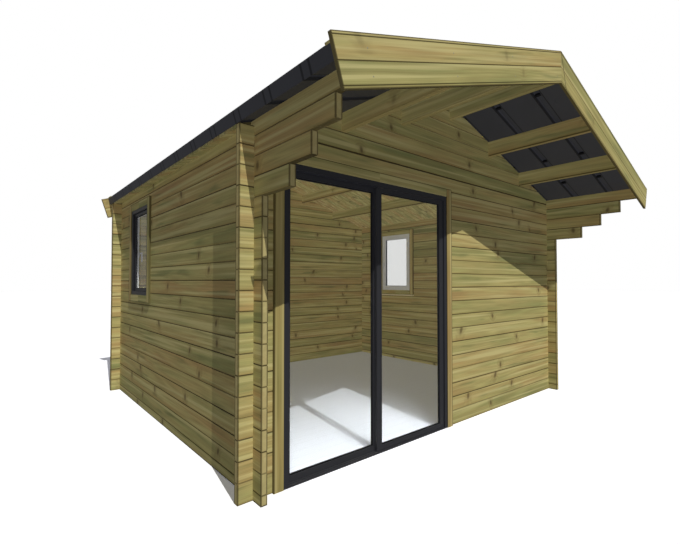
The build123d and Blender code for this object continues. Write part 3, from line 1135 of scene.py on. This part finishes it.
def dress(finish: bpy.types.Material, *nodes: str) -> None:
    """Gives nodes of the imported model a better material, and leaves their meshes as they are."""
    for name in nodes:
        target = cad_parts[name]
        if not target.material_slots:
            target.data.materials.append(finish)
        for slot in target.material_slots:
            slot.material = finish
        LOG.info("dressed %s with %s", name, finish.name)


def add_piece(
    name: str, mesh: bpy.types.Mesh, finish: bpy.types.Material, body: Body = Body.SHED,
    replaces: Sequence[str] = (),
) -> None:
    """Puts a finished mesh into the scene.

    Args:
        name: The piece's name.
        mesh: Its mesh, already in place.
        finish: Its material.
        body: The body it rides on.
        replaces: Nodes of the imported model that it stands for.
    """
    mesh.name = name
    if not mesh.materials:
        mesh.materials.append(finish)
    piece = bpy.data.objects.new(name, mesh)
    bpy.context.scene.collection.objects.link(piece)
    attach(piece, body.value)
    if replaces:
        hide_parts(*replaces)
    LOG.info("made %s: %d faces", name, len(mesh.polygons))


def add_to_slopes(name: str, meshes: Sequence[bpy.types.Mesh], finish: bpy.types.Material) -> None:
    """Puts meshes of the right-hand slope and their left-hand twins into the scene as one piece.

    Args:
        name: The piece's name.
        meshes: The meshes of the right-hand slope.
        finish: Their material.
    """
    work = bmesh.new()
    for mesh in meshes:
        work.from_mesh(mesh)
        work.from_mesh(mirrored(mesh))
    result = meshes[0].copy()
    work.to_mesh(result)
    work.free()
    add_piece(name, result, finish)


def on_slope(down: float, y: float, height: float) -> Vector:
    """A place on the right-hand slope, from the ridge down and above the covering's underside."""
    return Vector((
        down * PITCH_COS + height * PITCH_SIN, y, ROOF_UNDER - down * PITCH_SIN + height * PITCH_COS))


RIDGE = on_slope(0.0, 0.0, 0.0)
DOWN = on_slope(1.0, 0.0, 0.0) - RIDGE
OUT = on_slope(0.0, 0.0, 1.0) - RIDGE


# Sub-assemblies


@dataclass
class LogWalls:
    """Walls, gables and eaves logs."""

    effects: SharedEffects

    def dress(self) -> None:
        """Gives each stack of logs its timber."""
        across = LogStack(self.effects, "logs_across").material()
        deep = LogStack(
            self.effects, "logs_deep", run=Run.DEEP, first_seam=LOG_H / 2, tip=HALF_D + LOG_END,
            plate=0.0).material()
        dress(across, "back_wall", "front_wall_left", "front_wall_right", "front_wall_head")
        dress(across, "front_gable", "back_gable")
        dress(deep, "side_wall_left", "side_wall_right", "eaves_log_left", "eaves_log_right")


@dataclass
class RoofTimbers:
    """Purlins, ceiling boards, battens and bargeboards."""

    effects: SharedEffects
    rows: PieceRows
    board_t: float = 0.018
    board_v: float = 0.003
    boards: int = 36
    reach: float = ROOF_EDGE - 0.003
    barge_out: float = 1.017
    barge_back: float = 0.150
    screw_r: float = 0.0042
    screw_t: float = 0.001
    screw_sides: int = 12
    screws_down: int = 4
    screw_seed: int = 7
    first_screw: float = 0.11
    screw_pitch: float = 0.7
    screw_low: float = -0.105
    screw_rise: float = 0.125

    def dress(self) -> None:
        """Gives each timber its finish."""
        beams = RoofBeam(self.effects, "roof_beams", knots=0.5).material()
        dress(beams, "ridge_purlin")
        dress(VergeBatten(self.effects, "verge_battens").material(), "verge_battens")
        dress(beams, *(f"purlin_{side.word}_{row}" for side in Side for row in ("lower", "upper")))
        verge = VergeBoard(self.effects, "bargeboards", knots=0.35).material()
        dress(verge, *(f"{end}_bargeboard_{side.word}" for side in Side for end in ("front", "back")))

    def ceiling_board(self) -> bpy.types.Mesh:
        """One roof board at the first place of the right-hand slope, with its lower edges eased."""
        low = ROOF_UNDER - self.board_t / PITCH_COS
        eased = low + self.board_v
        corners = (
            (0.0, ROOF_UNDER), (CEILING_W, ROOF_UNDER), (CEILING_W, eased), (CEILING_W - self.board_v, low),
            (self.board_v, low), (0.0, eased))
        sweep = (self.reach, 0.0, -self.reach * PITCH_TAN)
        return Shape().prism([(0.0, *corner) for corner in corners], sweep).made()

    def ceiling(self) -> None:
        """Lays the ceiling boards of both slopes in place of the plain slabs."""
        finish = CeilingBoard(self.effects, "ceiling_boards", knots=0.8).material()
        start = (0.0, -HALF_D + LOG_T, 0.0)
        right = self.rows.lay(self.ceiling_board(), finish, start, (0.0, CEILING_W, 0.0), self.boards)
        for side, mesh in ((Side.LEFT, mirrored(right)), (Side.RIGHT, right)):
            name = f"ceiling_boards_{side.word}"
            add_piece(f"matched_{name}", mesh, finish, replaces=(name,))

    def screws(self) -> None:
        """Sets the screws of the bargeboards, two at each place."""
        finish = CoatedMetal(
            self.effects, "zinc_screws", colour=tone(150, 146, 120), roughness=0.35, dust=0.0).material()
        radii = (self.screw_r, self.screw_r * 0.7)
        meshes = []
        for face, way in ((-HALF_D - self.barge_out, -1.0), (HALF_D + self.barge_back, 1.0)):
            head = Shape().disc(ORIGIN, (0.0, way, 0.0), radii, self.screw_t, self.screw_sides)
            start = on_slope(self.first_screw, face, self.screw_low)
            meshes.append(self.rows.lay(
                head.made(), finish, start, DOWN * self.screw_pitch, self.screws_down,
                row_step=OUT * self.screw_rise, rows=2, axis=(0.0, 1.0, 0.0), turn=math.pi,
                seed=self.screw_seed))
        add_to_slopes("bargeboard_screws", meshes, finish)

    def build(self) -> None:
        """Dresses the timbers and adds the boards and screws."""
        self.dress()
        self.ceiling()
        self.screws()


@dataclass
class RoofCovering:
    """Ribbed steel panels with their laps, closers, screws, ridge cap and eaves strip."""

    effects: SharedEffects
    rows: PieceRows
    ribs: int = 12
    first_lap: float = 0.267
    lap_pitch: float = 0.517
    laps: int = 4
    lap_l: float = 0.022
    lap_t: float = 0.0025
    screw_rows: tuple[float, ...] = (0.20, 0.74, 1.45, 2.25)
    screw_seed: int = 20
    cap_row: float = 0.12
    cap_seed: int = 31
    washer_radii: tuple[float, float] = (0.0085, 0.0075)
    washer_t: float = 0.0016
    washer_sides: int = 14
    head_radii: tuple[float, float] = (0.0046, 0.0042)
    head_t: float = 0.0048
    closer_gap: float = 0.003
    closer_in: float = 0.001

    def rib_places(self) -> list[float]:
        """The Y place of each rib."""
        return [ROOF_FRONT + FIRST_RIB + number * RIB_PITCH for number in range(self.ribs)]

    def lap_strip(self) -> bpy.types.Mesh:
        """A thin strip that follows the panels' ribs over one lap, at the ridge."""
        lower: list[tuple[float, float]] = [(ROOF_FRONT + VERGE_W, PAN_TOP)]
        for y in self.rib_places():
            half, top = RIB_BASE / 2, RIB_CREST / 2
            lower += [(y - half, PAN_TOP), (y - top, RIB_TOP), (y + top, RIB_TOP), (y + half, PAN_TOP)]
        lower.append((ROOF_BACK - VERGE_W, PAN_TOP))
        upper = [(y, height + self.lap_t) for y, height in reversed(lower)]
        outline = [on_slope(0.0, y, height) - RIDGE for y, height in lower + upper]
        return Shape().prism(outline, DOWN * self.lap_l).made()

    def rib_closer(self) -> bpy.types.Mesh:
        """A closer that fills a channel from below, at the origin."""
        base, top = RIB_BASE / 2 - self.closer_gap * 2, RIB_CREST / 2 - self.closer_gap
        low, high = self.closer_in, CHANNEL_TOP - self.closer_gap
        corners = ((-base, low), (base, low), (top, high), (-top, high))
        outline = [Vector((0.0, y, 0.0)) + OUT * height for y, height in corners]
        return Shape().prism(outline, DOWN * self.lap_l).made()

    def roof_screw(self) -> bpy.types.Mesh:
        """A hexagon screw on its washer, standing on the slope at the origin."""
        shape = Shape().disc(ORIGIN, OUT, self.washer_radii, self.washer_t, self.washer_sides)
        return shape.disc(OUT * self.washer_t, OUT, self.head_radii, self.head_t, sides=6).made()

    def laps_and_closers(self, steel: bpy.types.Material, dark: bpy.types.Material) -> None:
        """Lays the laps on top of the panels and the closers in the channels under them."""
        step = DOWN * self.lap_pitch
        laps = self.rows.lay(self.lap_strip(), steel, on_slope(self.first_lap, 0.0, 0.0), step, self.laps)
        add_to_slopes("sheet_laps", [laps], steel)
        closers = self.rows.lay(
            self.rib_closer(), dark, on_slope(self.first_lap, self.rib_places()[0], 0.0), step, self.laps,
            row_step=(0.0, RIB_PITCH, 0.0), rows=self.ribs)
        add_to_slopes("rib_closers", [closers], dark)

    def screws(self, finish: bpy.types.Material) -> None:
        """Sets the screws of the panels in rows, and those of the ridge cap on the ribs."""
        first = self.rib_places()[0]
        pan = first + RIB_PITCH / 2
        rows = [
            (on_slope(down, pan, PAN_TOP), self.ribs - 1, self.screw_seed + number)
            for number, down in enumerate(self.screw_rows)]
        rows.append((on_slope(self.cap_row, first, CAP_TOP), self.ribs, self.cap_seed))
        meshes = [
            self.rows.lay(
                self.roof_screw(), finish, start, (0.0, RIB_PITCH, 0.0), count, axis=OUT, turn=math.pi,
                seed=seed)
            for start, count, seed in rows]
        add_to_slopes("roof_screws", meshes, finish)

    def build(self) -> None:
        """Dresses the steel and adds laps, closers and screws."""
        steel = RibbedSteel(
            self.effects, "black_steel", colour=tone(62, 62, 64), roughness=0.5, grain=650.0,
            dust=0.10).material()
        dark = CoatedMetal(
            self.effects, "rib_closer_foam", colour=tone(18, 18, 20), roughness=0.7, grain=400.0,
            dust=0.0).material()
        dress(steel, "roof_sheet_left", "roof_sheet_right", "ridge_cap")
        dress(steel, "eaves_flashing_left", "eaves_flashing_right")
        self.laps_and_closers(steel, dark)
        self.screws(steel)


@dataclass
class SlidingDoor:
    """Two-leaf sliding door in front of the room, with its gaskets, track and trims."""

    effects: SharedEffects
    rows: PieceRows
    glass: bpy.types.Material
    gasket_w: float = 0.005
    gasket_t: float = 0.002
    bead_w: float = 0.009
    bead_in: float = 0.003
    rail_h: float = 0.0035
    rail_t: float = 0.003
    rib_places: tuple[float, float] = (0.006, 0.014)
    rib_t: float = 0.002
    rib_h: float = 0.004
    caps: int = 3
    cap_z: float = 0.006
    cap_low: tuple[float, float, float] = (-0.016, -0.002, -0.003)
    cap_high: tuple[float, float, float] = (0.016, 0.0005, 0.003)
    cap_bevel: float = 0.0008
    trim_gap: float = 0.001
    trim_foot: float = -0.01

    def gasket(self, pane: str, sash: str, rubber: bpy.types.Material, body: Body) -> None:
        """Adds the gaskets on both sides of a pane, against its sash."""
        low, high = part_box(pane)
        shape = Shape()
        for face, way in ((low.y, -1), (high.y, 1)):
            span = sorted((face, face + way * self.gasket_t))
            shape.ring((low.x, span[0], low.z), (high.x, span[1], high.z), self.gasket_w, 1)
        add_piece(f"{sash}_gasket", shape.made(), rubber, body)

    def beads(self, pane: str, sash: str, metal: bpy.types.Material, body: Body) -> None:
        """Adds the glazing beads that step down from a sash to its pane, inside the room."""
        low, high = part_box(pane)
        near, far = high.y + self.gasket_t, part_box(sash)[1].y - self.bead_in
        shape = Shape().ring((low.x, near, low.z), (high.x, far, high.z), self.bead_w, 1)
        add_piece(f"{sash}_beads", shape.made(), metal, body)

    def track(self, metal: bpy.types.Material) -> None:
        """Adds the rail on the sill that the leaf runs on, and two low ribs along the sill's inner edge."""
        fixed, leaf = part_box("door_fixed_sash"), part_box("door_leaf_sash")
        left, right, sill = fixed[0].x, leaf[1].x, fixed[0].z
        middle = (leaf[0].y + leaf[1].y) / 2
        shape = Shape().box(
            (left, middle - self.rail_t / 2, sill), (right, middle + self.rail_t / 2, sill + self.rail_h))
        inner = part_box("door_frame")[1].y
        for place in self.rib_places:
            y = inner - place
            shape.box((left, y, sill), (right, y + self.rib_t, sill + self.rib_h))
        add_piece("door_track", shape.made(), metal)

    def drain_caps(self, metal: bpy.types.Material) -> None:
        """Adds the small covers of the drain slots along the sill's front."""
        low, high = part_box("door_frame")
        cap = Shape().box(self.cap_low, self.cap_high, self.cap_bevel).made()
        step = (high.x - low.x) / self.caps
        start = (low.x + step / 2, low.y, self.cap_z)
        mesh = self.rows.lay(cap, metal, start, (step, 0.0, 0.0), self.caps)
        add_piece("sill_drain_caps", mesh, metal)

    def build(self) -> None:
        """Dresses the door and adds its small parts."""
        metal = CoatedMetal(self.effects, "anthracite_aluminium").material()
        rubber = CoatedMetal(
            self.effects, "door_gasket", colour=tone(20, 20, 20), roughness=0.75, grain=1500.0,
            dust=0.0).material()
        dress(metal, "door_frame", "door_fixed_sash", "door_leaf_sash")
        dress(self.glass, "door_fixed_glass", "door_leaf_glass")
        low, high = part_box("door_frame")
        trims = TrimBoard(
            self.effects, "door_trims", knots=0.0, axis=0, middle=(low.x + high.x) / 2,
            half=(high.x - low.x) / 2 + self.trim_gap, low=self.trim_foot, high=high.z + TRIM_W).material()
        dress(trims, "door_trims")
        for part, body in (("fixed", Body.SHED), ("leaf", Body.LEAF)):
            pane, sash = f"door_{part}_glass", f"door_{part}_sash"
            self.gasket(pane, sash, rubber, body)
            self.beads(pane, sash, metal, body)
        self.track(metal)
        self.drain_caps(metal)


@dataclass
class SideWindow:
    """One window, black outside and pale inside, with gaskets, hinges, a lever and its trims."""

    effects: SharedEffects
    side: Side
    glass: bpy.types.Material
    frame_coat: bpy.types.Material
    rubber: bpy.types.Material
    pale: bpy.types.Material
    gasket_t: float = 0.002
    gasket_w: float = 0.005
    seal_t: float = 0.0015
    seal_w: float = 0.004
    hinge_h: float = 0.075
    hinge_r: float = 0.007
    hinge_in: float = 0.10
    hinge_cap: float = 0.003
    hinge_sides: int = 16
    rose: tuple[float, float, float] = (0.009, 0.016, 0.062)
    rose_bevel: float = 0.0025
    neck_radii: tuple[float, float] = (0.0065, 0.0058)
    neck_start: float = 0.008
    neck_l: float = 0.020
    neck_low: float = 0.014
    neck_sides: int = 20
    lever: tuple[float, float] = (0.015, 0.115)
    lever_out: float = 0.027
    lever_bevel: float = 0.004
    ledge_t: float = 0.018
    ledge_reach: float = 0.045
    ledge_bevel: float = 0.002

    def node(self, part: str) -> str:
        """The name of one of the window's nodes or pieces."""
        return f"window_{part}_{self.side.word}"

    def outward(self, distance: float, x: float) -> float:
        """An X place farther out from a face by a distance."""
        return x + self.side.value * distance

    def span(self, distance: float, x: float) -> list[float]:
        """The X places of a face and of one farther out, the lower first."""
        return sorted((x, self.outward(distance, x)))

    def faces(self, node: str) -> tuple[float, float]:
        """The inner and outer X faces of a node."""
        low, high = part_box(node)
        return (high.x, low.x) if self.side is Side.LEFT else (low.x, high.x)

    def add_gaskets(self) -> None:
        """Adds the gaskets at the pane and the seal between frame and sash."""
        shape = Shape()
        inner, outer = self.faces(self.node("glass"))
        sash_outer = self.faces(self.node("sash"))[1]
        for part, face, depth, width in (
            ("glass", outer, self.gasket_t, self.gasket_w), ("glass", inner, -self.gasket_t, self.gasket_w),
            ("sash", sash_outer, self.seal_t, self.seal_w),
        ):
            low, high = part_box(self.node(part))
            near, far = self.span(depth, face)
            shape.ring((near, low.y, low.z), (far, high.y, high.z), width, 0)
        add_piece(self.node("gaskets"), shape.made(), self.rubber)

    def add_hinges(self) -> None:
        """Adds two hinge barrels inside, on the side away from the lever."""
        low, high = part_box(self.node("sash"))
        x = self.outward(-self.hinge_r, self.faces(self.node("sash"))[0])
        pin, cap_r, sides = self.hinge_r, self.hinge_r * 0.8, self.hinge_sides
        shape = Shape()
        for z in (low.z + self.hinge_in, high.z - self.hinge_in - self.hinge_h):
            shape.disc((x, low.y, z), UP, (pin, pin), self.hinge_h, sides)
            for cap in (z - self.hinge_cap, z + self.hinge_h):
                shape.disc((x, low.y, cap), UP, (cap_r, cap_r), self.hinge_cap, sides)
        add_piece(self.node("hinges"), shape.made(), self.pale)

    def add_lever(self) -> None:
        """Adds the lever on its rose, in place of the plain solid."""
        handle = self.node("handle")
        low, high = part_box(handle)
        tip, base = self.faces(handle)
        y, top = (low.y + high.y) / 2, high.z
        depth, width, height = self.rose
        near, far = self.span(-depth, base)
        shape = Shape().box(
            (near, y - width / 2, top - height), (far, y + width / 2, top), self.rose_bevel)
        neck = (self.outward(-self.neck_start, base), y, top - self.neck_low)
        shape.disc(neck, (-self.side.value, 0.0, 0.0), self.neck_radii, self.neck_l, self.neck_sides)
        width, length = self.lever
        near, far = sorted((self.outward(-self.lever_out, base), tip))
        shape.box((near, y - width / 2, top - length), (far, y + width / 2, top), self.lever_bevel)
        add_piece(self.node("lever"), shape.made(), self.pale, replaces=(handle,))

    def add_ledge(self) -> None:
        """Adds the thin ledge along the foot of the inner trims."""
        low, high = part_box(self.node("trims"))
        near, far = self.span(-self.ledge_reach, self.outward(-LOG_T, self.side.value * HALF_W))
        shape = Shape().box((near, low.y, low.z - self.ledge_t), (far, high.y, low.z), self.ledge_bevel)
        lacquer = CoatedMetal(
            self.effects, f"pale_lacquer_{self.side.word}", colour=tone(222, 210, 168), roughness=0.5,
            dust=0.0).material()
        add_piece(self.node("ledge"), shape.made(), lacquer)

    def build(self) -> None:
        """Dresses the window and adds its small parts."""
        dress(self.frame_coat, self.node("frame"), self.node("sash"))
        dress(self.glass, self.node("glass"))
        low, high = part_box(self.node("frame"))
        trims = TrimBoard(
            self.effects, self.node("trims"), knots=0.0, axis=1, middle=(low.y + high.y) / 2,
            half=(high.y - low.y) / 2, low=low.z - TRIM_W, high=high.z + TRIM_W).material()
        dress(trims, self.node("trims"))
        self.add_ledge()
        self.add_gaskets()
        self.add_hinges()
        self.add_lever()


@dataclass
class Room:
    """The floor inside."""

    effects: SharedEffects

    def build(self) -> None:
        """Dresses the floor."""
        dress(FloorPaint(self.effects, "pale_floor_boards").material(), "floor")


@dataclass
class Studio:
    """Pale ground, plain light and the camera."""

    sun: float = 2.45
    sun_turn: float = math.radians(10.0)
    sun_height: float = math.radians(45.3)
    sun_width: float = math.radians(0.3)
    sky: float = 0.05
    sheen: float = 0.22
    ground_white: float = 1.45
    ground_grey: float = 0.10
    ground_half: float = 60.0
    flat_up: float = 1.25
    flat_down: float = 0.9
    flat_turn: float = math.radians(37.0)
    flat_height: float = math.radians(35.3)
    flat_width: float = math.radians(60.0)
    flat_colour: Colour = (0.97, 1.0, 1.15)
    lamp_distance: float = 12.0
    eye: tuple[float, float, float] = (-3.3913, -4.1096, 1.3665)
    turn: float = math.radians(40.174)
    tilt: float = math.radians(1.313)
    lens: float = 21.88

    def by_ray(self, wires: Wiring, elsewhere: float, seen: float) -> Value:
        """What the backdrop gives to each kind of ray.

        Args:
            wires: The tree of the ground's material or of the world.
            elsewhere: What rays get that only carry light.
            seen: What rays get from the camera, also straight through glass.

        Returns:
            The one of them that fits, or the sheen for mirrored rays.
        """
        path = wires.read("ShaderNodeLightPath")
        turns = path["Glossy Depth"] + path["Diffuse Depth"]
        through = path["Is Transmission Ray"] * turns.below(0.5)
        other = path["Is Glossy Ray"].pick(elsewhere, self.sheen)
        return path["Is Camera Ray"].most(through).pick(other, seen)

    def ground(self) -> None:
        """Adds the pale ground, which shows white and keeps the shed's shadow."""
        made = bpy.data.materials.new("studio_ground")
        made.use_nodes = True
        wires = Wiring(made.node_tree)
        grey = self.by_ray(wires, self.ground_grey, self.ground_white)
        shader = wires.fill(wires.node("ShaderNodeBsdfDiffuse"), Color=wires.point(grey, grey, grey))
        nodes = made.node_tree.nodes
        nodes.remove(nodes["Principled BSDF"])
        wires.feed(nodes["Material Output"].inputs["Surface"], shader)
        half = self.ground_half
        mesh = Shape().box((-half, -half, -0.02), (half, half, -0.0005)).made()
        mesh.materials.append(made)
        ground = bpy.data.objects.new("studio_ground", mesh)
        bpy.context.scene.collection.objects.link(ground)

    def world(self) -> None:
        """Lights the scene from all round, with a white backdrop."""
        made = bpy.data.worlds.new("studio")
        bpy.context.scene.world = made
        made.use_nodes = True
        wires = Wiring(made.node_tree)
        strength = self.by_ray(wires, self.sky, 1.0)
        wires.fill(made.node_tree.nodes["Background"], Color=(1.0, 1.0, 1.0), Strength=strength)

    @staticmethod
    def heading(turn: float, rise: float) -> Vector:
        """A direction, turned from +Y towards +X and raised above the level."""
        return Vector((math.sin(turn) * math.cos(rise), math.cos(turn) * math.cos(rise), math.sin(rise)))

    @staticmethod
    def aimed(name: str, data: bpy.types.ID, place: Sequence[float], way: Vector) -> bpy.types.Object:
        """Adds a lamp or camera that looks one way.

        Args:
            name: Its name.
            data: The lamp or camera.
            place: Where it stands.
            way: The way it looks.

        Returns:
            The new object.
        """
        made = bpy.data.objects.new(name, data)
        made.location = place
        made.rotation_mode = "QUATERNION"
        made.rotation_quaternion = way.to_track_quat("-Z", "Y")
        bpy.context.scene.collection.objects.link(made)
        return made

    def lamp(
        self, name: str, strength: float, turn: float, height: float, width: float, flat: bool = False
    ) -> None:
        """Adds a distant lamp.

        Args:
            name: Its name.
            strength: How bright it is.
            turn: Which way its light goes, from +Y towards +X.
            height: How steeply its light falls, or rises where it is below zero.
            width: How wide it looks, which softens its shadows.
            flat: Whether it is a cool light without shadows, which lightens what lies in the shade.
        """
        data = bpy.data.lights.new(name, "SUN")
        data.energy = strength
        data.angle = width
        data.use_shadow = not flat
        if flat:
            data.color = self.flat_colour
        way = self.heading(turn, -height)
        self.aimed(name, data, way * -self.lamp_distance, way)

    def camera(self) -> None:
        """Sets the camera where the photograph's stood."""
        data = bpy.data.cameras.new("camera")
        data.sensor_fit = "HORIZONTAL"
        data.sensor_width = 36.0
        data.lens = self.lens
        bpy.context.scene.camera = self.aimed("camera", data, self.eye, self.heading(self.turn, self.tilt))

    def build(self) -> None:
        """Sets up the studio."""
        bpy.context.scene.view_settings.view_transform = "Standard"
        self.ground()
        self.world()
        self.lamp("front_light", self.sun, self.sun_turn, self.sun_height, self.sun_width)
        turn, height, width = self.flat_turn, self.flat_height, self.flat_width
        self.lamp("flat_light_up", self.flat_up, turn, -height, width, flat=True)
        self.lamp("flat_light_down", self.flat_down, turn + math.pi, height, width, flat=True)
        self.camera()


def main() -> None:
    """Builds every sub-assembly in order."""
    logging.basicConfig(level=logging.INFO, format="%(name)s: %(message)s")
    effects = SharedEffects()
    rows = PieceRows()
    Studio().build()
    glass = ClearPane(effects, "clear_glass").material()
    LogWalls(effects).dress()
    RoofTimbers(effects, rows).build()
    RoofCovering(effects, rows).build()
    SlidingDoor(effects, rows, glass).build()
    coat = TwoToneFrame(effects, "window_coat").material()
    rubber = CoatedMetal(
        effects, "window_gasket", colour=tone(22, 22, 22), roughness=0.75, grain=1500.0, dust=0.0).material()
    pale = CoatedMetal(
        effects, "pale_fittings", colour=tone(188, 188, 184), roughness=0.38, grain=800.0,
        dust=0.0).material()
    for side in Side:
        SideWindow(effects, side, glass, coat, rubber, pale).build()
    Room(effects).build()


if __name__ == "__main__":
    main()
